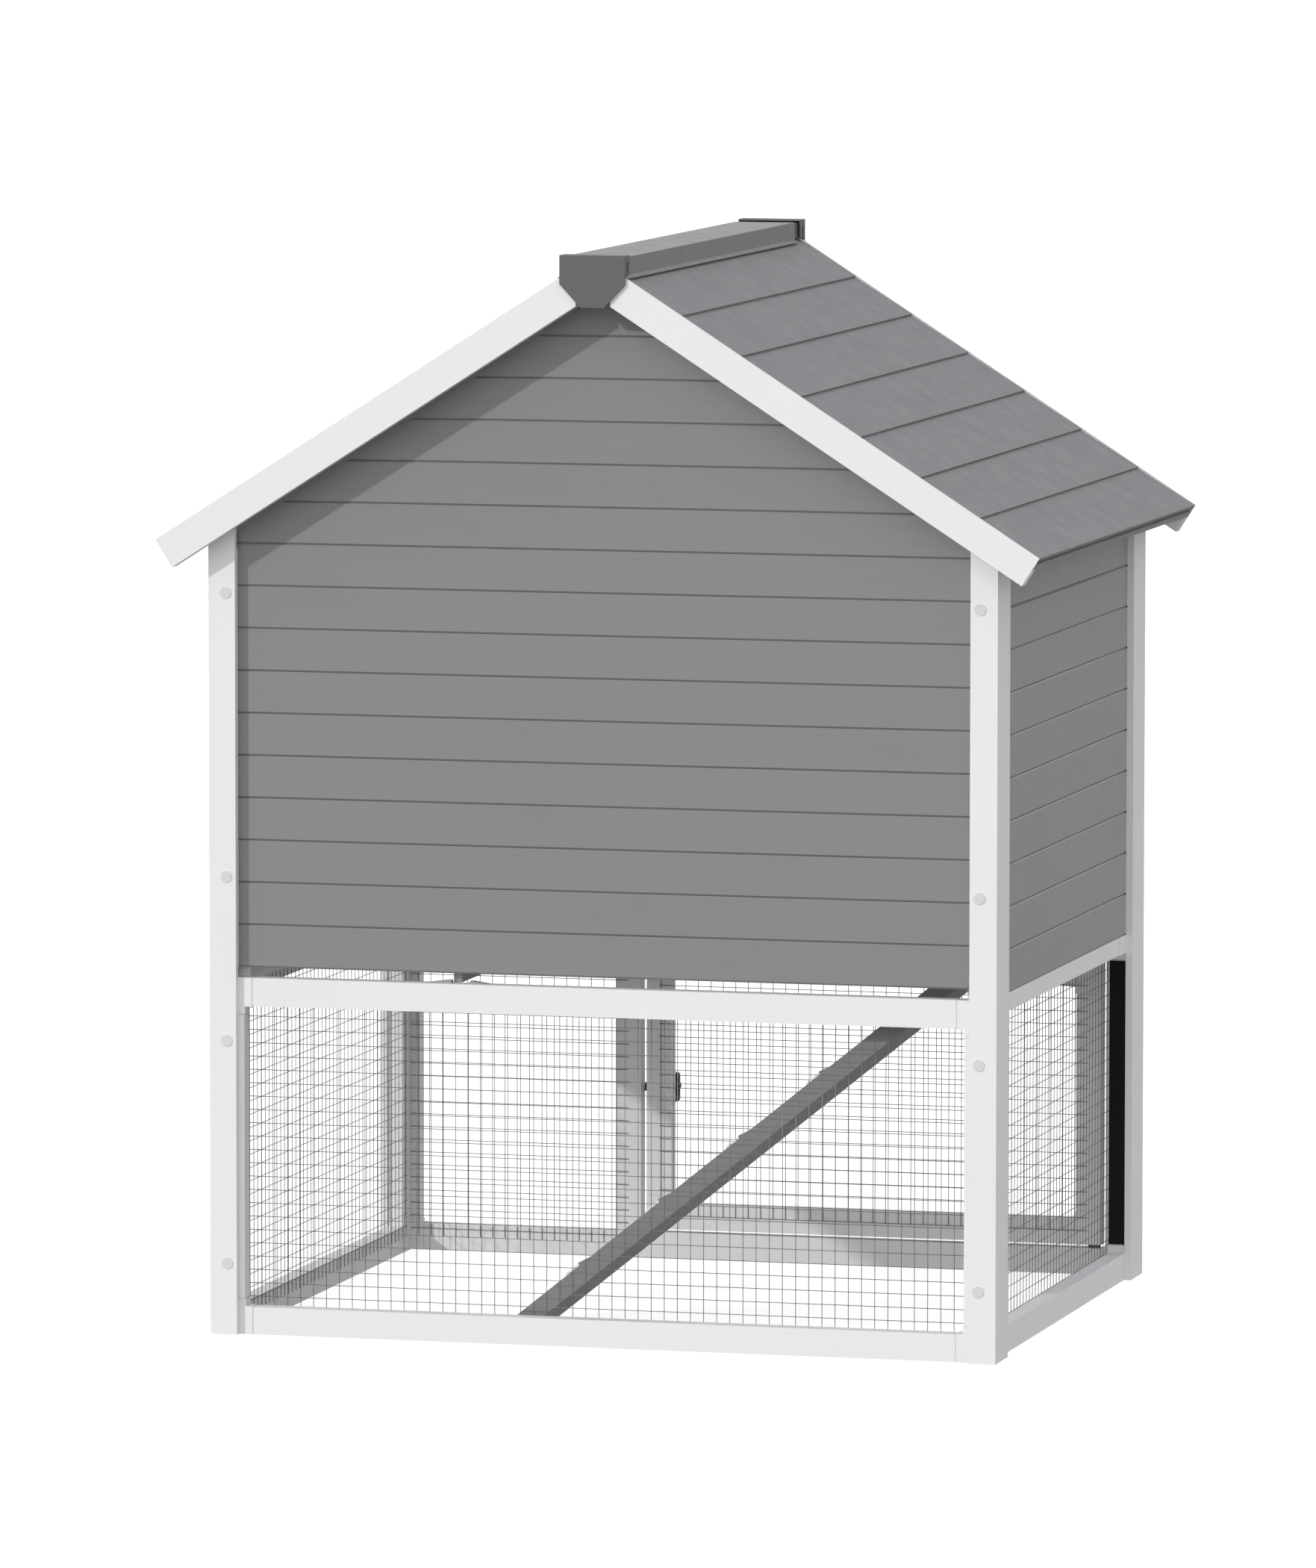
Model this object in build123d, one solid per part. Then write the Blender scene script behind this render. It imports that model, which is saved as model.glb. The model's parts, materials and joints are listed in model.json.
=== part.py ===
from build123d import *
import os
import math

# Two-storey rabbit hutch: mesh run below, boarded cabin with a gable roof above.
# Millimetres. Origin at the centre of the footprint on the ground, +Z up,
# doors face -Y, ridge runs along Y.

# ---- driving dimensions -------------------------------------------------
BODY_W = 762.0          # over the corner posts, along X
BODY_D = 627.2          # over the corner posts, along Y
POST_X = 26.0           # post flange seen from front and rear
POST_Y = 51.0           # post flange seen from the sides
POST_T = 6.6            # post flange thickness
FRAME_T = 16.5          # thickness of every run and door frame
STILE = 25.4            # width of stiles and door rails
BOTTOM_RAIL = 26.0
RUN_TOP = 339.0         # top of the run frames, front and rear
RUN_TOP_RAIL = 27.0
SIDE_TOP = 338.8        # top of the side run frames
SIDE_TOP_RAIL = 17.1
BOARD_PITCH = 40.05     # tongue-and-groove board height
BOARD_T = 12.0
REAR_WALL_Z = 348.7     # underside of the rear wall
REAR_WALL_INSET = 10.6  # rear wall face behind the posts' outer face
SIDE_WALL_Z = 338.8
ROOF_ANGLE = 32.63      # degrees
ROOF_PEAK_Z = 1026.3    # where the two roof planes would meet
ROOF_HALF_W = 425.5     # half width at the eaves
ROOF_OVER = 24.4        # overhang past the posts, front and rear
RAKE_DEPTH = 30.5
RAKE_T = 15.0
RAKE_LIP = 3.0
SHINGLE_PITCH = 67.5
SHINGLE_STEP = 2.2
PANEL_TOP = 3.5         # underside of the shingle boards below the roof plane
PANEL_BOT = 13.3        # underside of the roof panel below the roof plane
FLOOR_Z = 352.0
FLOOR_T = 9.0
MESH_PITCH = 25.4
MESH_WIRE = 0.88
RAMP_ANGLE = 39.02
RAMP_T = 16.5
RAMP_W = 164.0
RAMP_REAR_GAP = 34.0    # from the posts' rear face to the ramp
CLEAT_X = 41.7          # lower end of the lowest tread
CLEAT_PITCH = 77.6
SCREW_Z = (67.7, 279.5, 435.0, 703.3)
SCREW_IN = 16.7
DOOR_GAP = 3.0
PIVOT_X = 336.1         # distance of the door pivots from the centre plane
PIVOT_R = 2.5
PIVOT_HOLE_R = 2.55

HX = BODY_W / 2.0
HY = BODY_D / 2.0
INX = HX - POST_T
A = math.radians(ROOF_ANGLE)
CA, SA = math.cos(A), math.sin(A)
S_TIP = ROOF_HALF_W / CA

nodes = {}


# ---- helpers --------------------------------------------------------------
def bx(x0, x1, y0, y1, z0, z1):
    x0, x1 = min(x0, x1), max(x0, x1)
    y0, y1 = min(y0, y1), max(y0, y1)
    z0, z1 = min(z0, z1), max(z0, z1)
    return Pos((x0 + x1) / 2, (y0 + y1) / 2, (z0 + z1) / 2) * Box(x1 - x0, y1 - y0, z1 - z0)


def prism_xz(pts, y0, y1):
    w = Wire.make_polygon([(p[0], y0, p[1]) for p in pts], close=True)
    return Solid.extrude(Face(w), Vector(0, y1 - y0, 0))


def prism_yz(pts, x0, x1):
    w = Wire.make_polygon([(x0, p[0], p[1]) for p in pts], close=True)
    return Solid.extrude(Face(w), Vector(x1 - x0, 0, 0))


def cyl(c, r, length, axis):
    # cylinder centred on c, along axis "x", "y" or "z"
    rot = {"x": Rot(0, 90, 0), "y": Rot(90, 0, 0), "z": Rot(0, 0, 0)}[axis]
    return Pos(*c) * rot * Cylinder(r, length)


def solids(shape):
    if isinstance(shape, (list, tuple)):
        out = []
        for s in shape:
            out += solids(s)
        return out
    return list(shape.solids())


def add(name, *shapes):
    nodes.setdefault(name, [])
    for s in shapes:
        nodes[name] += solids(s)


def fr(d):
    """Y of a plane d behind the posts' outer face, at the front."""
    return -HY + d


def re(d):
    """Y of a plane d behind the posts' outer face, at the rear."""
    return HY - d


def slope(s, t, side):
    """Point on the roof: s down the slope from the peak line, t above the roof plane."""
    return (side * (s * CA + t * SA), ROOF_PEAK_Z - s * SA + t * CA)


def s_at_x(x, t):
    return (x - t * SA) / CA


def roof_z(x, t):
    """Height of the plane t above the roof plane, at |x|."""
    return ROOF_PEAK_Z + t / CA - abs(x) * math.tan(A)


def above(t):
    """Everything over the plane t of both roof slopes, for trimming what stands under it."""
    w = 460.0
    pts = [(-w, roof_z(w, t)), (0, roof_z(0, t)), (w, roof_z(w, t)), (w, 1300), (-w, 1300)]
    return prism_xz(pts, -400, 400)


# ---- corner posts ------------------------------------------------------------
CUT_PANEL = above(-PANEL_BOT)
for yname, ys in (("front", -1), ("rear", 1)):
    for xname, xs in (("left", -1), ("right", 1)):
        post = bx(xs * (HX - POST_X), xs * HX, ys * HY, ys * (HY - POST_T), 0, 800)
        post = post + bx(xs * (HX - POST_T), xs * HX, ys * HY, ys * (HY - POST_Y), 0, 800)
        post = post - CUT_PANEL
        for z in SCREW_Z:
            post = post - cyl((xs * (HX - SCREW_IN), ys * (HY - 3), z), 2.1, 30, "y")
            post = post - cyl((xs * (HX - SCREW_IN), ys * (HY - 1.3), z), 4.2, 2.6, "y")
        add("post_%s_%s" % (yname, xname), post)

# ---- tongue-and-groove boards ---------------------------------------------------
UNDER_CHAMFER = 1.75
TOP_CHAMFER = 1.0


def board_profile(z0, z1, c_out, c_in, top_open):
    """Profile (c, z) of one board; c runs from the outer face to the inner face."""
    d = 1 if c_in > c_out else -1
    pts = [(c_out + d * UNDER_CHAMFER, z0), (c_out, z0 + UNDER_CHAMFER)]
    if top_open:
        pts += [(c_out, z1)]
    else:
        pts += [(c_out, z1 - TOP_CHAMFER), (c_out + d * TOP_CHAMFER, z1)]
    pts += [(c_in, z1), (c_in, z0)]
    return pts


def wall_x(x0, x1, z_start, z_end, y_out, y_in):
    """Boards running along X."""
    out = []
    z = z_start
    while z < z_end - 0.5:
        z1 = min(z + BOARD_PITCH, z_end)
        out.append(prism_yz(board_profile(z, z1, y_out, y_in, z1 > z_end - 3.5), x0, x1))
        z += BOARD_PITCH
    return out


def wall_y(y0, y1, z_start, z_end, x_out, x_in):
    """Boards running along Y."""
    out = []
    z = z_start
    while z < z_end - 0.5:
        z1 = min(z + BOARD_PITCH, z_end)
        out.append(prism_xz(board_profile(z, z1, x_out, x_in, z1 > z_end - 3.5), y0, y1))
        z += BOARD_PITCH
    return out


RAFTER_T = 32.4
CUT_RAFTER = above(-RAFTER_T)

# rear wall, full gable
for b in wall_x(-INX, INX, REAR_WALL_Z, roof_z(0, -RAFTER_T), re(REAR_WALL_INSET), re(REAR_WALL_INSET + BOARD_T)):
    b = b - CUT_RAFTER
    for z in SCREW_Z[2:]:
        for xs in (-1, 1):
            b = b - cyl((xs * (HX - SCREW_IN), re(12), z), 2.1, 16, "y")
    add("rear_wall_boards", b)

# side walls
for name, xs in (("left", -1), ("right", 1)):
    for b in wall_y(fr(POST_T + FRAME_T), re(POST_T + FRAME_T), SIDE_WALL_Z, 779, xs * INX, xs * (INX - BOARD_T)):
        b = b - CUT_PANEL
        add("%s_wall_boards" % name, b)

# battens between the rear posts and the rear wall
for xs in (-1, 1):
    bt = bx(xs * 355.5, xs * INX, re(POST_T), re(REAR_WALL_INSET), REAR_WALL_Z, 744)
    for z in SCREW_Z[2:]:
        bt = bt - cyl((xs * (HX - SCREW_IN), re(8), z), 2.1, 16, "y")
    add("rear_wall_battens", bt)

# rafters along both gables
for ys in (-1, 1):
    for xs in (-1, 1):
        pts = [slope(s_at_x(0, -PANEL_BOT), -PANEL_BOT, xs), slope(s_at_x(INX, -PANEL_BOT), -PANEL_BOT, xs),
               slope(s_at_x(INX, -RAFTER_T), -RAFTER_T, xs), slope(s_at_x(0, -RAFTER_T), -RAFTER_T, xs)]
        add("gable_rafters", prism_xz(pts, ys * (HY - 8.6), ys * (HY - 22.6)))

# ---- roof -----------------------------------------------------------------------
YP = HY + ROOF_OVER - RAKE_LIP
for name, xs in (("left", -1), ("right", 1)):
    pts = [slope(s_at_x(0, -PANEL_TOP), -PANEL_TOP, xs), slope(S_TIP - 10, -PANEL_TOP, xs),
           slope(S_TIP - 10, -7.6, xs), slope(S_TIP, -7.6, xs), slope(S_TIP, -PANEL_BOT, xs),
           slope(s_at_x(0, -PANEL_BOT), -PANEL_BOT, xs)]
    add("roof_panel_%s" % name, prism_xz(pts, -YP, YP))
    edges = [S_TIP - k * SHINGLE_PITCH for k in range(6, -1, -1)]
    start = 12.0
    for e in edges:
        t0 = -SHINGLE_STEP
        pts = [slope(start, t0, xs), slope(e, 0, xs), slope(e, -PANEL_TOP, xs), slope(start, -PANEL_TOP, xs)]
        add("roof_shingles_%s" % name, prism_xz(pts, -YP, YP))
        start = e

# rake boards: thin outer lip that hides the roof's edge, thick batten below the panel
RK = 16.5
for yname, ys in (("front", -1), ("rear", 1)):
    for xname, xs in (("left", -1), ("right", 1)):
        lip = [slope(s_at_x(RK, 0), 0, xs), slope(S_TIP, 0, xs), slope(S_TIP, -RAKE_DEPTH, xs),
               slope(s_at_x(RK, -RAKE_DEPTH), -RAKE_DEPTH, xs)]
        bat = [slope(s_at_x(RK, -PANEL_BOT), -PANEL_BOT, xs), slope(S_TIP, -PANEL_BOT, xs),
               slope(S_TIP, -RAKE_DEPTH, xs), slope(s_at_x(RK, -RAKE_DEPTH), -RAKE_DEPTH, xs)]
        y_out = ys * (HY + ROOF_OVER)
        y_lip = ys * (HY + ROOF_OVER - RAKE_LIP)
        y_in = ys * (HY + ROOF_OVER - RAKE_T)
        r = prism_xz(lip, y_out, y_lip) + prism_xz(bat, y_lip, y_in)
        add("rake_board_%s_%s" % (yname, xname), r)

# ridge cap: folded channel with a small foot on each slope
CAP_HW = 30.0
CAP_Z = 1025.2
CAP_T = 1.2
foot_out = 34.0


def cap_half(xs):
    return [(xs * CAP_HW, CAP_Z), (xs * CAP_HW, roof_z(CAP_HW, CAP_T)), (xs * foot_out, roof_z(foot_out, CAP_T)),
            (xs * (foot_out - 0.65), roof_z(foot_out - 0.65, 0.02)), (xs * (CAP_HW - CAP_T), roof_z(CAP_HW - CAP_T, 0.02)),
            (xs * (CAP_HW - CAP_T), CAP_Z - CAP_T)]


cap_pts = cap_half(1) + list(reversed(cap_half(-1)))
cap = prism_xz(cap_pts, re(-ROOF_OVER + 0.3), fr(8.7))
for xs in (-1, 1):
    cap = cap - bx(xs * 25, xs * 32, HY + 16.4, HY + 20.0, 1010.9, 1020.0)
add("ridge_cap", cap)

# ridge end caps
END_HW = 31.5
END_TOP = 1027.0


def end_cap(ys, depth, plug):
    hexa = [(-END_HW, END_TOP), (END_HW, END_TOP), (END_HW, 1000.0), (11.2, 978.2), (-11.2, 978.2), (-END_HW, 1000.0)]
    y0 = ys * (HY + 27.5)
    y1 = ys * (HY + ROOF_OVER + 0.1)
    yr = ys * (HY + 27.5 - depth)
    body = prism_xz(hexa, y0, y1)
    body = body + bx(-END_HW, END_HW, y1, yr, 1025.5, END_TOP)
    for xs in (-1, 1):
        side = bx(xs * (CAP_HW + 0.15), xs * END_HW, y1, yr, 1009.0, END_TOP)
        side = side - bx(xs * (CAP_HW - 1), xs * (END_HW + 1), ys * (HY + 20.3), ys * (HY + 16.1), 1010.6, 1020.3)
        body = body + side
    if plug:
        yp = ys * (HY - 22.0)
        body = body + bx(-28.5, 28.5, y1, yp, 1022.5, 1023.8)
        for xs in (-1, 1):
            body = body + bx(xs * 27.2, xs * 28.5, y1, yp, 1009.0, 1023.8)
    return body


add("ridge_end_cap_rear", end_cap(1, 18.4, False))
add("ridge_end_cap_front", end_cap(-1, 19.2, True))


# ---- framed panels of the run --------------------------------------------------
def frame(m, a0, a1, b0, b1, c0, c1, wl, wr, wb, wt, arm=7.5, arm_top=7.5, neck=0.6, inset=0.3, proud=0.5):
    """Rails, stiles and moulded corner pieces of one frame.
    m maps (a0, a1, c0, c1, b0, b1) to a box; a is across, b is up, c is the thickness."""
    rails = [m(a0 + wl + arm + neck, a1 - wr - arm - neck, c0 + inset, c1 - inset, b0, b0 + wb),
             m(a0 + wl + arm_top + neck, a1 - wr - arm_top - neck, c0 + inset, c1 - inset, b1 - wt, b1),
             m(a0, a0 + wl, c0 + inset, c1 - inset, b0 + wb + arm + neck, b1 - wt - arm - neck),
             m(a1 - wr, a1, c0 + inset, c1 - inset, b0 + wb + arm + neck, b1 - wt - arm - neck)]
    corners = []
    n = 0.8
    for ea in (0, 1):
        for eb in (0, 1):
            w = wr if ea else wl
            h = wt if eb else wb
            ah = arm_top if eb else arm
            sa = -1 if ea else 1
            sb = -1 if eb else 1
            oa = a1 if ea else a0
            ob = b1 if eb else b0
            c = m(oa, oa + sa * (w + ah), c0, c1, ob, ob + sb * (h + proud))
            c = c + m(oa, oa + sa * (w + proud), c0, c1, ob, ob + sb * (h + arm))
            c = c + m(oa + sa * (w + ah), oa + sa * (w + ah + neck), c0 + 1.1, c1 - 1.1, ob + sb * n, ob + sb * (h - n))
            c = c + m(oa + sa * n, oa + sa * (w - n), c0 + 1.1, c1 - 1.1, ob + sb * (h + arm), ob + sb * (h + arm + neck))
            corners.append(c)
    return rails, corners


def map_rear(a0, a1, c0, c1, b0, b1):
    return bx(a0, a1, re(c0), re(c1), b0, b1)


def map_front(a0, a1, c0, c1, b0, b1):
    return bx(a0, a1, fr(c0), fr(c1), b0, b1)


def map_left(a0, a1, c0, c1, b0, b1):
    return bx(-HX + c0, -HX + c1, a0, a1, b0, b1)


def map_right(a0, a1, c0, c1, b0, b1):
    return bx(HX - c0, HX - c1, a0, a1, b0, b1)


F0, F1 = POST_T, POST_T + FRAME_T


def mesh_panel(m, a0, a1, b0, b1, c0, c1, pitch=MESH_PITCH, wire=MESH_WIRE):
    """Welded wire panel as one pierced sheet."""
    na = int((a1 - a0 - 6.0) // pitch)
    nb = int((b1 - b0 - 6.0) // pitch)
    sa = a0 + ((a1 - a0) - na * pitch) / 2
    sb = b0 + ((b1 - b0) - nb * pitch) / 2
    h = (pitch - wire) / 2
    outer = Wire.make_polygon([(a0, b0, 0), (a1, b0, 0), (a1, b1, 0), (a0, b1, 0)], close=True)
    holes = []
    for i in range(na):
        for j in range(nb):
            x = sa + (i + 0.5) * pitch
            y = sb + (j + 0.5) * pitch
            holes.append(Wire.make_polygon([(x - h, y - h, 0), (x + h, y - h, 0), (x + h, y + h, 0), (x - h, y + h, 0)], close=True))
    sheet = Solid.extrude(Face(outer, holes), Vector(0, 0, c1 - c0))
    if m in (map_rear, map_front):
        # local (a, b, c) to (X, Z, -Y)
        y = re(c0) if m is map_rear else fr(c1)
        return Pos(0, y, 0) * Rot(90, 0, 0) * sheet
    # local (a, b, c) to (Y, Z, X)
    x = (-HX + c0) if m is map_left else (HX - c1)
    return Pos(x, 0, 0) * Rot(0, 0, 90) * Rot(90, 0, 0) * sheet


def drill(shape_list, cutters):
    out = []
    for s in shape_list:
        bb = s.bounding_box()
        for c in cutters:
            cb = c.bounding_box()
            if (cb.max.X > bb.min.X and cb.min.X < bb.max.X and cb.max.Y > bb.min.Y and cb.min.Y < bb.max.Y
                    and cb.max.Z > bb.min.Z and cb.min.Z < bb.max.Z):
                s = s - c
        out.append(s)
    return out


def post_holes(ys):
    return [cyl((xs * (HX - SCREW_IN), ys * (HY - 13.4), z), 2.1, 14, "y") for xs in (-1, 1) for z in SCREW_Z]


# rear frame of the run
r, c = frame(map_rear, -INX, INX, 0, RUN_TOP, F0, F1, STILE, STILE, BOTTOM_RAIL, RUN_TOP_RAIL)
add("run_rear_rails", drill(r, post_holes(1)))
add("run_frame_corners", drill(c, post_holes(1)))
add("run_rear_mesh", mesh_panel(map_rear, -357.5, 357.5, 14, 324, F1, F1 + MESH_WIRE))

# side frames of the run
YS = HY - F1
for name, m in (("left", map_left), ("right", map_right)):
    r, c = frame(m, -YS, YS, 0, SIDE_TOP, F0, F1, STILE, STILE, BOTTOM_RAIL, SIDE_TOP_RAIL, arm_top=32.0)
    add("run_%s_rails" % name, r)
    add("run_frame_corners", c)
    add("run_%s_mesh" % name, mesh_panel(m, -YS + 17, YS - 17, 14, 330, F1, F1 + MESH_WIRE))

# black edge seal on the front stile of the left side frame
add("left_edge_seal", bx(-INX + 0.3, -INX + FRAME_T - 0.4, -YS + STILE + 0.55, -YS + STILE + 1.65, BOTTOM_RAIL + 8.6, SIDE_TOP - SIDE_TOP_RAIL - 8.6))

# front frame of the run with its fixed centre stile
CS0, CS1 = 121.5, 146.9
pivot_cut_run = [cyl((-PIVOT_X, fr(F0 + FRAME_T / 2), 20.5), PIVOT_HOLE_R, 12, "z"),
                 cyl((-PIVOT_X, fr(F0 + FRAME_T / 2), 317.5), PIVOT_HOLE_R, 12, "z")]
r, c = frame(map_front, -INX, INX, 0, RUN_TOP, F0, F1, STILE, STILE, BOTTOM_RAIL, RUN_TOP_RAIL, arm=4.0, arm_top=4.0)
r.append(map_front(CS0, CS1, F0 + 0.3, F1 - 0.3, BOTTOM_RAIL, RUN_TOP - RUN_TOP_RAIL))
r = drill(r, post_holes(-1) + pivot_cut_run)
c = drill(c, post_holes(-1))
add("run_front_rails", r)
add("run_frame_corners", c)
add("run_front_mesh", mesh_panel(map_front, 134.2, 357.5, 14, 324, F1, F1 + MESH_WIRE))

# ---- run door ------------------------------------------------------------------
DX0, DX1 = -344.5, 115.7
DZ0, DZ1 = 29.3, 309.0
LATCH_IN = 21.2
LATCH_Z = 168.4


def pivot_pins(px, z_low, z_high):
    """Pin and washer under and over a door stile."""
    y = fr(F0 + FRAME_T / 2)
    low = cyl((px, y, z_low - 1.5), 6.2, 2.4, "z") + cyl((px, y, z_low - 1.0), PIVOT_R, 16.0, "z")
    low = low + cyl((px, y, z_low - 0.25), 4.0, 0.5, "z")
    high = cyl((px, y, z_high + 1.5), 6.2, 2.4, "z") + cyl((px, y, z_high + 1.0), PIVOT_R, 16.0, "z")
    high = high + cyl((px, y, z_high + 0.25), 4.0, 0.5, "z")
    return [low, high]


def pin_sockets(px, z_low, z_high):
    y = fr(F0 + FRAME_T / 2)
    return [cyl((px, y, z_low + 3.5), PIVOT_R, 7.2, "z"), cyl((px, y, z_high - 3.5), PIVOT_R, 7.2, "z")]


def latch(px, z, dirx):
    """Turn latch: spindle through the stile, tongue and thumb block outside."""
    y = fr(F0)
    tongue = Pos(px + dirx * 14.5, fr(5.2), z) * Box(44.0, 2.0, 8.6)
    block = Pos(px, fr(0.4), z) * Box(12.6, 8.2, 29.0)
    block = fillet(block.edges().filter_by(Axis.Y), 3.0)
    knob = cyl((px, fr(-8.4), z), 5.0, 9.6, "y")
    hub = cyl((px, fr(-3.9), z), 3.6, 1.4, "y")
    spindle = cyl((px, fr(10.5), z), 2.0, 13.0, "y")
    s = tongue + block + hub + knob + spindle
    return s


run_door_cut = pin_sockets(-PIVOT_X, DZ0, DZ1) + [cyl((DX1 - LATCH_IN, fr(12), LATCH_Z), 2.05, 12.4, "y")]
r, c = frame(map_front, DX0, DX1, DZ0, DZ1, F0, F1, STILE, STILE, STILE, STILE)
add("run_door_rails", drill(r, run_door_cut))
add("run_door_corners", drill(c, run_door_cut))
add("run_door_mesh", mesh_panel(map_front, DX0 + 13.4, DX1 - 13.4, DZ0 + 13.4, DZ1 - 13.4, F1, F1 + MESH_WIRE))
add("run_door_pivots", pivot_pins(-PIVOT_X, DZ0, DZ1))
add("run_door_latch", latch(DX1 - LATCH_IN, LATCH_Z, 1))

# ---- cabin front: cross rail, header, jambs and centre mullion ---------------------
TRAY_TOP = 388.5
XR0, XR1 = 391.0, 416.5
HD0, HD1 = 719.0, 744.5
MUL = 12.7
UZ0, UZ1 = XR1 + DOOR_GAP, HD0 - DOOR_GAP
up_cut = []
for xs in (-1, 1):
    up_cut += [cyl((xs * PIVOT_X, fr(F0 + FRAME_T / 2), XR1 - 5.0), PIVOT_HOLE_R, 12, "z"),
               cyl((xs * PIVOT_X, fr(F0 + FRAME_T / 2), HD0 + 5.0), PIVOT_HOLE_R, 12, "z")]
g = [map_front(-INX, INX, F0, F1, XR0, XR1), map_front(-INX, INX, F0, F1, HD0, HD1),
     map_front(-MUL, MUL, F0, F1, XR1, HD0)]
for xs in (-1, 1):
    g.append(map_front(xs * (INX - STILE), xs * INX, F0, F1, XR1, HD0))
    g.append(map_front(xs * 356.0, xs * INX, F0, F1, RUN_TOP, XR0))
add("cabin_front_rails", drill(g, up_cut + post_holes(-1)))
for b in wall_x(-INX, INX, HD1, roof_z(0, -RAFTER_T), fr(REAR_WALL_INSET), fr(REAR_WALL_INSET + BOARD_T)):
    add("front_gable_boards", b - CUT_RAFTER)

# ---- cabin doors -----------------------------------------------------------------
U_IN, U_OUT = MUL + 5.0, 344.5
ULZ = 567.0
for name, xs in (("left", -1), ("right", 1)):
    a0, a1 = (-U_OUT, -U_IN) if xs < 0 else (U_IN, U_OUT)
    lx = xs * (U_IN + LATCH_IN)
    cuts = pin_sockets(xs * PIVOT_X, UZ0, UZ1) + [cyl((lx, fr(12), ULZ), 2.05, 12.4, "y")]
    r, c = frame(map_front, a0, a1, UZ0, UZ1, F0, F1, STILE, STILE, STILE, STILE)
    add("cabin_door_%s_frame" % name, drill(r, cuts), drill(c, cuts))
    add("cabin_door_%s_pivots" % name, pivot_pins(xs * PIVOT_X, UZ0, UZ1))
    add("cabin_door_%s_latch" % name, latch(lx, ULZ, -xs))
bl = wall_x(-U_OUT + STILE + 0.5, -U_IN - STILE - 0.5, UZ0 + STILE + 0.5, UZ1 - STILE - 0.5, fr(F0 + 4.0), fr(F0 + 14.0))
add("cabin_door_left_boards", bl)
add("cabin_door_right_mesh", mesh_panel(map_front, U_IN + 13.4, U_OUT - 13.4, UZ0 + 13.4, UZ1 - 13.4, F1, F1 + MESH_WIRE))

# ---- floor ---------------------------------------------------------------------
FX = 362.1
HOLE_X0, HOLE_X1 = -337.6, -130.0
HOLE_Y0, HOLE_Y1 = re(RAMP_REAR_GAP + RAMP_W + 4.0), re(30.0)
floor = bx(-FX, FX, fr(F1), re(REAR_WALL_INSET + BOARD_T + 0.3), FLOOR_Z, FLOOR_Z + FLOOR_T)
floor = floor - bx(HOLE_X0, HOLE_X1, HOLE_Y0, HOLE_Y1, FLOOR_Z - 5, FLOOR_Z + FLOOR_T + 5)
add("floor_panel", floor)
JX0, JX1 = 140.2, 148.2
joist = bx(JX0, JX1, fr(F1 + 0.2), re(F1 + 0.2), RUN_TOP, FLOOR_Z)
add("floor_joist", joist)
for xs in (-1, 1):
    add("floor_ledgers", bx(xs * 348.0, xs * FX, fr(F1), re(F1), SIDE_TOP, FLOOR_Z))
# wedge clips on the rails at the joist's ends
for ys in (-1, 1):
    y0, y1 = ys * (HY - 15.0), ys * (HY - 21.5)
    add("joist_clips", prism_xz([(148.3, RUN_TOP), (172.0, RUN_TOP), (150.0, RUN_TOP + 2.9), (148.3, RUN_TOP + 3.0)], y0, y1))
    add("joist_clips", prism_xz([(111.0, RUN_TOP), (131.7, RUN_TOP), (130.2, RUN_TOP + 2.5), (127.5, RUN_TOP + 2.5)], y0, y1))

# ---- ramp -----------------------------------------------------------------------
R = math.radians(RAMP_ANGLE)
CR, SR = math.cos(R), math.sin(R)
RTX, RTZ = -326.0, FLOOR_Z + FLOOR_T      # upper corner of the ramp's top face
RY0, RY1 = re(RAMP_REAR_GAP + RAMP_W), re(RAMP_REAR_GAP)
RAMP_L = (RTZ - 16.5 * CR - 0.4) / SR     # leaves the lower corner just over the ground


def on_ramp(s, t):
    """s down the ramp's top face from its upper corner, t above that face."""
    return (RTX + s * CR + t * SR, RTZ - s * SR + t * CR)


add("ramp_board", prism_xz([on_ramp(0, 0), on_ramp(RAMP_L, 0), on_ramp(RAMP_L, -RAMP_T), on_ramp(0, -RAMP_T)], RY0, RY1))
for k in range(5):
    s_low = (CLEAT_X - k * CLEAT_PITCH - RTX) / CR
    s_mid = s_low - 12.9 / CR
    s_high = s_low - 22.7 / CR
    add("ramp_treads", prism_xz([on_ramp(s_low, 0), on_ramp(s_low, 1.9), on_ramp(s_mid, 1.9), on_ramp(s_mid, 0)], RY0, RY1))
    add("ramp_cleats", prism_xz([on_ramp(s_mid, 0), on_ramp(s_mid, 2.5), on_ramp(s_mid - 1.2, 2.5), on_ramp(s_high, 0)], RY0, RY1))

# ramp hinge
HGX, HGZ = -331.0, FLOOR_Z + FLOOR_T + 3.0
HYC = (RY0 + RY1) / 2
LEAF = 60.0
knuckle_r = 3.0
pin_r = 1.5
fixed = bx(-360.0, HGX, HYC - LEAF / 2, HYC + LEAF / 2, FLOOR_Z + FLOOR_T, FLOOR_Z + FLOOR_T + 1.5)
fixed = fixed + cyl((HGX, HYC, HGZ), knuckle_r, LEAF, "y")
fixed = fixed - bx(HGX - 4.2, HGX + 8, HYC - 15.2, HYC + 15.2, FLOOR_Z, HGZ + 10)
fixed = fixed - cyl((HGX, HYC, HGZ), pin_r + 0.05, LEAF + 10, "y")
add("ramp_hinge_fixed_leaf", fixed)
leaf = prism_xz([on_ramp(-5.77, 0.02), on_ramp(26, 0.02), on_ramp(26, 1.5), on_ramp(-5.77, 1.5)], HYC - 15.0, HYC + 15.0)
leaf = leaf + prism_xz([on_ramp(4.5, 0.02), on_ramp(26, 0.02), on_ramp(26, 1.5), on_ramp(4.5, 1.5)], HYC - LEAF / 2, HYC + LEAF / 2)
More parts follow.
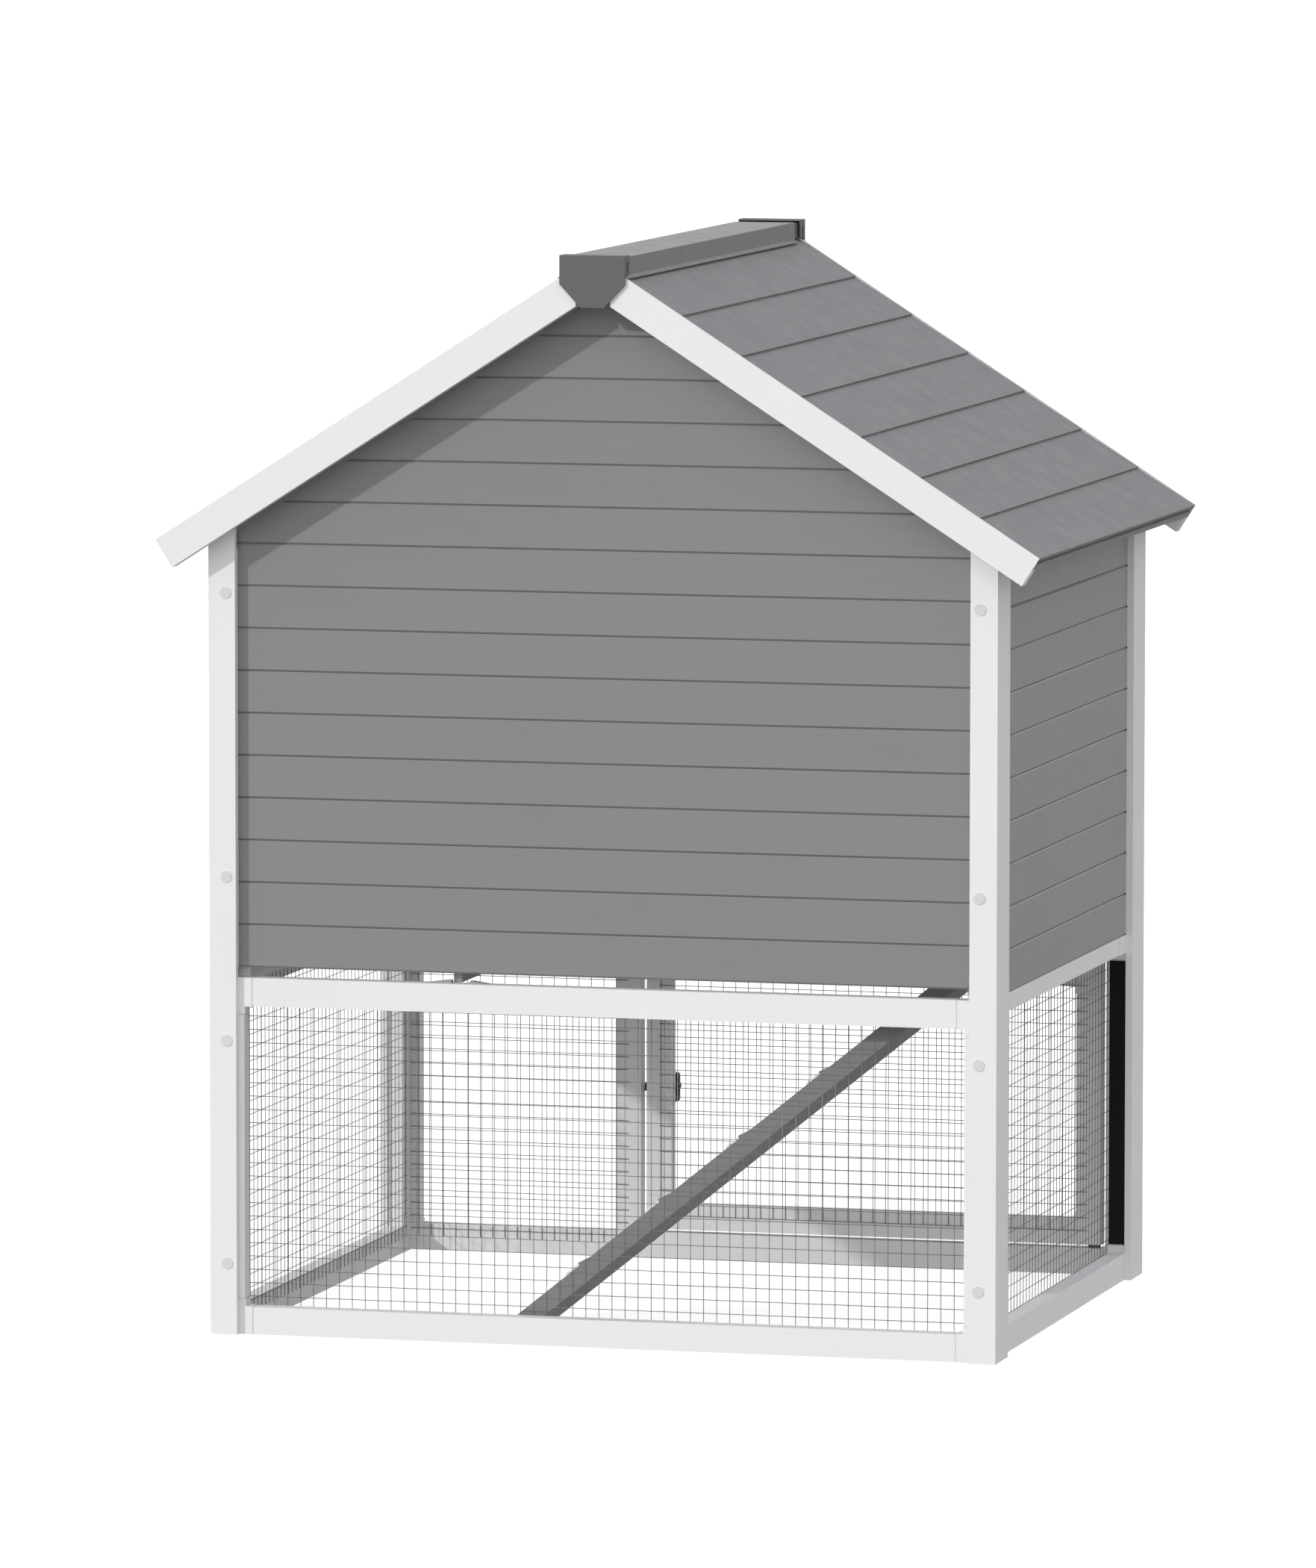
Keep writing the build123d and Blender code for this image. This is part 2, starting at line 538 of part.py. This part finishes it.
leaf = leaf + cyl((HGX, HYC, HGZ), knuckle_r, 30.0, "y")
leaf = leaf - cyl((HGX, HYC, HGZ), pin_r, LEAF + 10, "y")
add("ramp_hinge_moving_leaf", leaf)
add("ramp_hinge_pin", cyl((HGX, HYC, HGZ), pin_r, LEAF + 4, "y"))

# ---- slide-out tray ---------------------------------------------------------------
TX, TY0, TY1 = 350.0, fr(F1), 100.0
TZ0, TZ1, TT = 361.5, 385.0, 1.2
tray = bx(-TX, TX, TY0, TY1, TZ0, TZ1) - bx(-TX + TT, TX - TT, TY0 + TT, TY1 - TT, TZ0 + TT, TZ1 + 5)
add("tray", tray)
add("tray_front", bx(-353.5, 353.5, fr(F0), fr(F1), 352.5, TRAY_TOP))
knob = cyl((0, fr(2.6), 370.5), 6.0, 8.0, "y") + cyl((0, fr(-5.4), 370.5), 11.0, 8.0, "y")
knob = fillet(knob.edges().filter_by(GeomType.CIRCLE).group_by(Axis.Y)[0], 2.5)
add("tray_knob", knob)

# ---- screws and screw caps -------------------------------------------------------
for ys in (-1, 1):
    for xs in (-1, 1):
        for z in SCREW_Z:
            x = xs * (HX - SCREW_IN)
            head = cyl((x, ys * (HY - 1.6), z), 4.0, 2.0, "y")
            shank = cyl((x, ys * (HY - 11.0), z), 2.0, 17.0, "y")
            add("post_screws", head + shank)
            cap = cyl((x, ys * (HY + 0.35), z), 5.5, 0.7, "y")
            add("post_screw_caps", cap + cyl((x, ys * (HY - 0.25), z), 4.1, 0.5, "y"))


# ---- output ---------------------------------------------------------------------
def main():
    os.makedirs("parts", exist_ok=True)
    for f in os.listdir("parts"):
        if f.endswith(".step") and f[:-5] not in nodes:
            os.remove(os.path.join("parts", f))
    for name, parts in nodes.items():
        shape = parts[0] if len(parts) == 1 else Compound(parts)
        export_step(shape, "parts/%s.step" % name)
    print(len(nodes), "nodes", sum(len(v) for v in nodes.values()), "solids")


main()
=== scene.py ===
import bpy, bmesh, json, math
from mathutils import Vector, Matrix


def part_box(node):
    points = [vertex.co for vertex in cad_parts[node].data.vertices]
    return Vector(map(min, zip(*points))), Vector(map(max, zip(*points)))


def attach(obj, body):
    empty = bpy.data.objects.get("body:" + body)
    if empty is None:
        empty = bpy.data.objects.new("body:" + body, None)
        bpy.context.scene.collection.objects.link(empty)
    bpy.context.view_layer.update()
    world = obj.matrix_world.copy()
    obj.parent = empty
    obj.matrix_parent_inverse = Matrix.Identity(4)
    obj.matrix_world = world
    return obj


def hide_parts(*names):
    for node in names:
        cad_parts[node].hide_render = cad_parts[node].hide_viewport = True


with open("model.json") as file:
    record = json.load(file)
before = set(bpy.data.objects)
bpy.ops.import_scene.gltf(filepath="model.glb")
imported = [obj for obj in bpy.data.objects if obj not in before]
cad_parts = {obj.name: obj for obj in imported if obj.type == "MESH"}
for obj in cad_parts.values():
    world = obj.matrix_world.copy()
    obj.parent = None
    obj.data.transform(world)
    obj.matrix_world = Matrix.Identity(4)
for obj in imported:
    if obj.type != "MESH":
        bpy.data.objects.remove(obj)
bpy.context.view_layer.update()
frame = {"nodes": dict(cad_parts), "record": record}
nodes = frame["nodes"]
sc = bpy.context.scene


# ---------------------------------------------------------------- materials
def srgb(r, g, b):
    def f(c):
        c /= 255.0
        return c / 12.92 if c <= 0.04045 else ((c + 0.055) / 1.055) ** 2.4
    return (f(r), f(g), f(b), 1.0)


def scaled(c, k):
    return (min(c[0] * k, 1.0), min(c[1] * k, 1.0), min(c[2] * k, 1.0), 1.0)


def new_mat(name):
    m = bpy.data.materials.new(name)
    m.use_nodes = True
    nt = m.node_tree
    for n in list(nt.nodes):
        nt.nodes.remove(n)
    out = nt.nodes.new("ShaderNodeOutputMaterial")
    p = nt.nodes.new("ShaderNodeBsdfPrincipled")
    nt.links.new(p.outputs["BSDF"], out.inputs["Surface"])
    return m, nt, p


def noise(nt, scale, stretch=(1, 1, 1), detail=4.0, rough=0.55, offset=(0, 0, 0)):
    tc = nt.nodes.new("ShaderNodeTexCoord")
    mp = nt.nodes.new("ShaderNodeMapping")
    mp.inputs["Scale"].default_value = stretch
    mp.inputs["Location"].default_value = offset
    nz = nt.nodes.new("ShaderNodeTexNoise")
    nz.inputs["Scale"].default_value = scale
    nz.inputs["Detail"].default_value = detail
    nz.inputs["Roughness"].default_value = rough
    nt.links.new(tc.outputs["Object"], mp.inputs["Vector"])
    nt.links.new(mp.outputs["Vector"], nz.inputs["Vector"])
    return nz.outputs["Fac"]


def ramp(nt, fac, c0, c1, p0=0.3, p1=0.7):
    r = nt.nodes.new("ShaderNodeValToRGB")
    r.color_ramp.elements[0].position = p0
    r.color_ramp.elements[1].position = p1
    r.color_ramp.elements[0].color = c0
    r.color_ramp.elements[1].color = c1
    nt.links.new(fac, r.inputs["Fac"])
    return r.outputs["Color"]


def grey(v):
    return (v, v, v, 1.0)


def mult(nt, a, b):
    m = nt.nodes.new("ShaderNodeMix")
    m.data_type = "RGBA"
    m.blend_type = "MULTIPLY"
    m.inputs["Factor"].default_value = 1.0
    nt.links.new(a, m.inputs[6])
    nt.links.new(b, m.inputs[7])
    return m.outputs[2]


def bump(nt, p, height, strength, distance):
    b = nt.nodes.new("ShaderNodeBump")
    b.inputs["Strength"].default_value = strength
    b.inputs["Distance"].default_value = distance
    nt.links.new(height, b.inputs["Height"])
    nt.links.new(b.outputs["Normal"], p.inputs["Normal"])
    return b


def painted(name, base, rough, var=0.03, grain=None, grain_var=0.04, bump_s=0.15, cloud=3.0, spec=0.5):
    """Painted surface: soft cloudy tone, fine stipple, optional brushed or wooden grain along one axis."""
    m, nt, p = new_mat(name)
    cl = ramp(nt, noise(nt, cloud, detail=2.0), scaled(base, 1 - var), scaled(base, 1 + var))
    st = noise(nt, 900.0, detail=2.0)
    col = cl
    h = st
    if grain:
        g = noise(nt, 1.0, stretch=grain, detail=6.0, rough=0.6)
        col = mult(nt, cl, ramp(nt, g, grey(1 - grain_var), grey(1.0), 0.35, 0.65))
        mx = nt.nodes.new("ShaderNodeMath")
        mx.operation = "MULTIPLY_ADD"
        mx.inputs[1].default_value = 2.0
        nt.links.new(g, mx.inputs[0])
        nt.links.new(st, mx.inputs[2])
        h = mx.outputs[0]
    nt.links.new(col, p.inputs["Base Color"])
    rr = ramp(nt, noise(nt, 35.0, detail=3.0), grey(max(rough - 0.05, 0.05)), grey(rough + 0.05))
    nt.links.new(rr, p.inputs["Roughness"])
    p.inputs["Specular IOR Level"].default_value = spec
    bump(nt, p, h, bump_s, 0.00012)
    return m


WHITE = (0.80, 0.808, 0.818, 1.0)
M = {}
M["white"] = painted("white_paint", WHITE, 0.42, var=0.012, cloud=5.0, bump_s=0.12, spec=0.35)
M["white_x"] = painted("white_paint_x", WHITE, 0.42, var=0.012, grain=(6, 260, 260), grain_var=0.015, bump_s=0.12, spec=0.35)
M["moulding"] = painted("white_moulding", scaled(WHITE, 0.985), 0.34, var=0.008, cloud=9.0, bump_s=0.08, spec=0.4)
BOARD = (0.232, 0.2345, 0.236, 1.0)
M["board_x"] = painted("board_paint_x", BOARD, 0.46, var=0.018, grain=(9, 300, 300), grain_var=0.03, bump_s=0.14, spec=0.45)
# Side-wall board paint: the same board grey brightened 1.26 times, painted light standing in for the brighter
# grazing sheen on the side walls; the joist also uses it.
M["board_y_lightened"] = painted("board_paint_y_lightened", scaled(BOARD, 1.26), 0.38, var=0.018, grain=(300, 9, 300), grain_var=0.03, bump_s=0.13, spec=0.9)
M["ramp"] = painted("ramp_paint", (0.214, 0.211, 0.208, 1.0), 0.5, var=0.02, grain=(9, 300, 300), grain_var=0.04, bump_s=0.16, spec=0.4)
M["rafter"] = painted("rafter_paint", scaled(BOARD, 1.05), 0.5, var=0.03, grain=(9, 300, 300), grain_var=0.06, bump_s=0.2)
M["roof"] = painted("roof_paint", (0.198, 0.1995, 0.2055, 1.0), 0.48, var=0.02, grain=(300, 9, 300), grain_var=0.03, bump_s=0.14, spec=0.5)
M["panel"] = painted("panel_paint", (0.30, 0.30, 0.31, 1.0), 0.6, var=0.04, grain=(200, 12, 200), grain_var=0.1, bump_s=0.3)
M["floor"] = painted("floor_ply", (0.42, 0.40, 0.36, 1.0), 0.62, var=0.05, grain=(10, 170, 10), grain_var=0.14, bump_s=0.35)
M["ridge"] = painted("ridge_metal", (0.192, 0.192, 0.184, 1.0), 0.38, var=0.02, grain=(400, 6, 400), grain_var=0.04, bump_s=0.1, spec=0.6)
M["endcap"] = painted("endcap_plastic", (0.112, 0.114, 0.115, 1.0), 0.42, var=0.02, cloud=14.0, bump_s=0.2, spec=0.5)
M["black"] = painted("black_plastic", (0.018, 0.018, 0.019, 1.0), 0.38, var=0.1, cloud=40.0, bump_s=0.3)
M["seal"] = painted("black_gloss", (0.004, 0.004, 0.0042, 1.0), 0.3, var=0.08, cloud=12.0, bump_s=0.03, spec=0.16)
M["cap"] = painted("screw_cap", srgb(212, 213, 213), 0.4, var=0.02, cloud=60.0, bump_s=0.12)
M["greyplastic"] = painted("grey_plastic", (0.30, 0.305, 0.31, 1.0), 0.45, var=0.03, cloud=40.0, bump_s=0.2)
M["cleat"] = painted("cleat_paint", (0.20, 0.203, 0.203, 1.0), 0.5, var=0.03, grain=(200, 12, 200), grain_var=0.08, bump_s=0.2)
M["tray"] = painted("tray_plastic", (0.12, 0.125, 0.13, 1.0), 0.5, var=0.03, cloud=20.0, bump_s=0.4)
M["screw"] = painted("zinc", (0.5, 0.5, 0.51, 1.0), 0.35, var=0.06, cloud=120.0, bump_s=0.1)
M["screw"].node_tree.nodes["Principled BSDF"].inputs["Metallic"].default_value = 1.0
M["wire"] = painted("galvanised_wire", (0.22, 0.222, 0.228, 1.0), 0.4, var=0.12, cloud=90.0, bump_s=0.15)
M["wire"].node_tree.nodes["Principled BSDF"].inputs["Metallic"].default_value = 0.35

PICK = {
    "white_frame": "white", "white_moulding": "moulding", "grey_board": "board_x", "white_rafter": "rafter",
    "roof_board": "roof", "roof_panel": "panel", "ridge_metal": "ridge", "ridge_plastic": "endcap",
    "mesh_wire": "wire", "black_plastic": "black", "black_seal": "seal", "screw_steel": "screw",
    "screw_cap": "cap", "grey_plastic": "greyplastic", "floor_ply": "floor", "ramp_wood": "ramp",
    "tread_strip": "white", "joist_wood": "board_y_lightened",
    "cleat_wood": "cleat", "tray_plastic": "tray",
}
slot_of = {s["node"]: s["material_slot"] for s in frame["record"]["subparts"]}
# The side walls take the brightened board copy: painted light for their grazing sheen.
SPECIAL = {"left_wall_boards": "board_y_lightened", "right_wall_boards": "board_y_lightened"}
BEVEL = {"ridge_plastic": 0.0006, "black_plastic": 0.0003}
for n, o in nodes.items():
    slot = slot_of[n]
    m = M[SPECIAL.get(n, PICK[slot])]
    o.data.materials.clear()
    o.data.materials.append(m)
    if n.endswith("_mesh"):
        continue
    w = BEVEL.get(slot)
    if w:
        wd = o.modifiers.new("weld", "WELD")
        wd.merge_threshold = 0.00002
        bv = o.modifiers.new("bevel", "BEVEL")
        bv.width = w
        bv.segments = 2
        bv.limit_method = "ANGLE"
        bv.angle_limit = math.radians(35)
        bv.use_clamp_overlap = True
        bv.harden_normals = False


# ---------------------------------------------------------------- welded wire
def wire_panel(name, node, body, across, plane, inner, pitch=0.0127, r=0.00035, phase_a=0.0, phase_b=0.0):
    """Two layers of round wire at half-inch pitch over the extent of a CAD mesh sheet.
    across: 'x' or 'y', the level direction of the sheet. inner: +1 or -1, the side of the sheet the upright wires lie on."""
    lo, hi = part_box(node)
    ia = 0 if across == "x" else 1
    ic = 1 - ia
    a0, a1, b0, b1 = lo[ia], hi[ia], lo[2], hi[2]
    c = (lo[ic] + hi[ic]) / 2
    bm = bmesh.new()
    seg = 8

    def tube(p, q):
        d = (q - p).normalized()
        up = Vector((0, 0, 1)) if abs(d.z) < 0.9 else Vector((1, 0, 0))
        s = d.cross(up).normalized()
        t = d.cross(s).normalized()
        rings = []
        for e in (p, q):
            rings.append([bm.verts.new(e + r * (math.cos(2 * math.pi * k / seg) * s + math.sin(2 * math.pi * k / seg) * t)) for k in range(seg)])
        for k in range(seg):
            f = bm.faces.new((rings[0][k], rings[0][(k + 1) % seg], rings[1][(k + 1) % seg], rings[1][k]))
            f.smooth = True
        bm.faces.new(list(reversed(rings[0])))
        bm.faces.new(rings[1])

    def at(a, b, cc):
        v = [0, 0, b]
        v[ia] = a
        v[ic] = cc
        return Vector(v)

    k = math.ceil((a0 + r - phase_a) / pitch)
    while phase_a + k * pitch < a1 - r:
        a = phase_a + k * pitch
        tube(at(a, b0, c + inner * r * 0.95), at(a, b1, c + inner * r * 0.95))
        k += 1
    k = math.ceil((b0 + r - phase_b) / pitch)
    while phase_b + k * pitch < b1 - r:
        b = phase_b + k * pitch
        tube(at(a0, b, c - inner * r * 0.95), at(a1, b, c - inner * r * 0.95))
        k += 1
    me = bpy.data.meshes.new(name)
    bm.normal_update()
    bm.to_mesh(me)
    bm.free()
    me.materials.append(M["wire"])
    ob = bpy.data.objects.new(name, me)
    sc.collection.objects.link(ob)
    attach(ob, body)
    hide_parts(node)
    return ob


wire_panel("wire_rear", "run_rear_mesh", "hutch", "x", 0, 1, phase_a=0.0069, phase_b=0.0087)
wire_panel("wire_left", "run_left_mesh", "hutch", "y", 0, -1, phase_a=0.0114, phase_b=0.0003)
wire_panel("wire_right", "run_right_mesh", "hutch", "y", 0, 1, phase_a=0.0069, phase_b=0.0001)
wire_panel("wire_front", "run_front_mesh", "hutch", "x", 0, -1, phase_a=0.0069, phase_b=0.0090)
wire_panel("wire_run_door", "run_door_mesh", "run_door", "x", 0, -1, phase_a=0.0120, phase_b=0.0051)
wire_panel("wire_cabin_door", "cabin_door_right_mesh", "cabin_door_right", "x", 0, -1)

# ---------------------------------------------------------------- stage
def stage_mat(name, col, emit, e_str):
    m, nt, p = new_mat(name)
    nz = noise(nt, 0.5, detail=2.0)
    nt.links.new(ramp(nt, nz, scaled(col, 0.99), scaled(col, 1.0)), p.inputs["Base Color"])
    p.inputs["Roughness"].default_value = 0.9
    p.inputs["Specular IOR Level"].default_value = 0.0
    p.inputs["Emission Color"].default_value = emit
    p.inputs["Emission Strength"].default_value = e_str
    return m


R = 45.0
bm = bmesh.new()
bmesh.ops.create_circle(bm, cap_ends=True, radius=R, segments=96)
me = bpy.data.meshes.new("stage_floor")
bm.to_mesh(me)
bm.free()
floor = bpy.data.objects.new("stage_floor", me)
sc.collection.objects.link(floor)
floor.location.z = -0.0003
me.materials.append(stage_mat("stage_floor", (0.28, 0.28, 0.28, 1), (1, 1, 1, 1), 0.88))
bm = bmesh.new()
bmesh.ops.create_uvsphere(bm, u_segments=48, v_segments=24, radius=R - 0.5)
bmesh.ops.reverse_faces(bm, faces=bm.faces)
me = bpy.data.meshes.new("stage_dome")
bm.to_mesh(me)
bm.free()
dome = bpy.data.objects.new("stage_dome", me)
sc.collection.objects.link(dome)
me.materials.append(stage_mat("stage_dome", (0, 0, 0, 1), (1, 1, 1, 1), 1.0))
for o in (floor, dome):
    o.visible_diffuse = False
    o.visible_glossy = False
    o.visible_transmission = False
    o.visible_shadow = False

# ---------------------------------------------------------------- light
world = bpy.data.worlds.new("studio")
sc.world = world
world.use_nodes = True
wt = world.node_tree
bg = wt.nodes["Background"]
tc = wt.nodes.new("ShaderNodeTexCoord")
sx = wt.nodes.new("ShaderNodeSeparateXYZ")
mr = wt.nodes.new("ShaderNodeMapRange")
mr.inputs["From Min"].default_value = -1.0
mr.inputs["From Max"].default_value = 1.0
cr = wt.nodes.new("ShaderNodeValToRGB")
cr.color_ramp.elements[0].position = 0.0
cr.color_ramp.elements[0].color = (0.34, 0.34, 0.335, 1)
cr.color_ramp.elements[1].position = 1.0
cr.color_ramp.elements[1].color = (0.88, 0.90, 0.94, 1)
e = cr.color_ramp.elements.new(0.48)
e.color = (0.34, 0.34, 0.34, 1)
e = cr.color_ramp.elements.new(0.54)
e.color = (0.80, 0.80, 0.80, 1)
wt.links.new(tc.outputs["Generated"], sx.inputs["Vector"])
wt.links.new(sx.outputs["Z"], mr.inputs["Value"])
wt.links.new(mr.outputs["Result"], cr.inputs["Fac"])
wt.links.new(cr.outputs["Color"], bg.inputs["Color"])
bg.inputs["Strength"].default_value = 0.95


def sun_lamp(name, travel, energy, angle, color=(1, 1, 1)):
    l = bpy.data.lights.new(name, "SUN")
    l.energy = energy
    l.angle = math.radians(angle)
    l.color = color
    ob = bpy.data.objects.new(name, l)
    sc.collection.objects.link(ob)
    ob.rotation_mode = "QUATERNION"
    ob.rotation_quaternion = Vector(travel).normalized().to_track_quat("-Z", "Y")


sun_lamp("key", (-0.925, -1.0, -0.61), 1.42, 1.6, (1.0, 0.995, 0.985))
sun_lamp("fill", (0.05, -1.0, -0.18), 0.48, 75.0)
sun_lamp("side", (1.0, -0.1, -0.12), 0.14, 50.0)

# ---------------------------------------------------------------- camera
cam = bpy.data.cameras.new("camera")
cam.sensor_width = 36.0
cam.lens = 272.45
cam.clip_start = 0.1
cam.clip_end = 200.0
co = bpy.data.objects.new("camera", cam)
sc.collection.objects.link(co)
fw = Vector((0.25558, -0.96163, -0.09972)).normalized()
rt = Vector((-0.96645, -0.25686, 0.00065))
rt = (rt - rt.dot(fw) * fw).normalized()
up = rt.cross(fw)
co.matrix_world = Matrix(((rt.x, up.x, -fw.x, -2.88161), (rt.y, up.y, -fw.y, 10.94367), (rt.z, up.z, -fw.z, 1.63606), (0, 0, 0, 1)))
sc.camera = co
sc.view_settings.view_transform = "Standard"
sc.view_settings.look = "None"
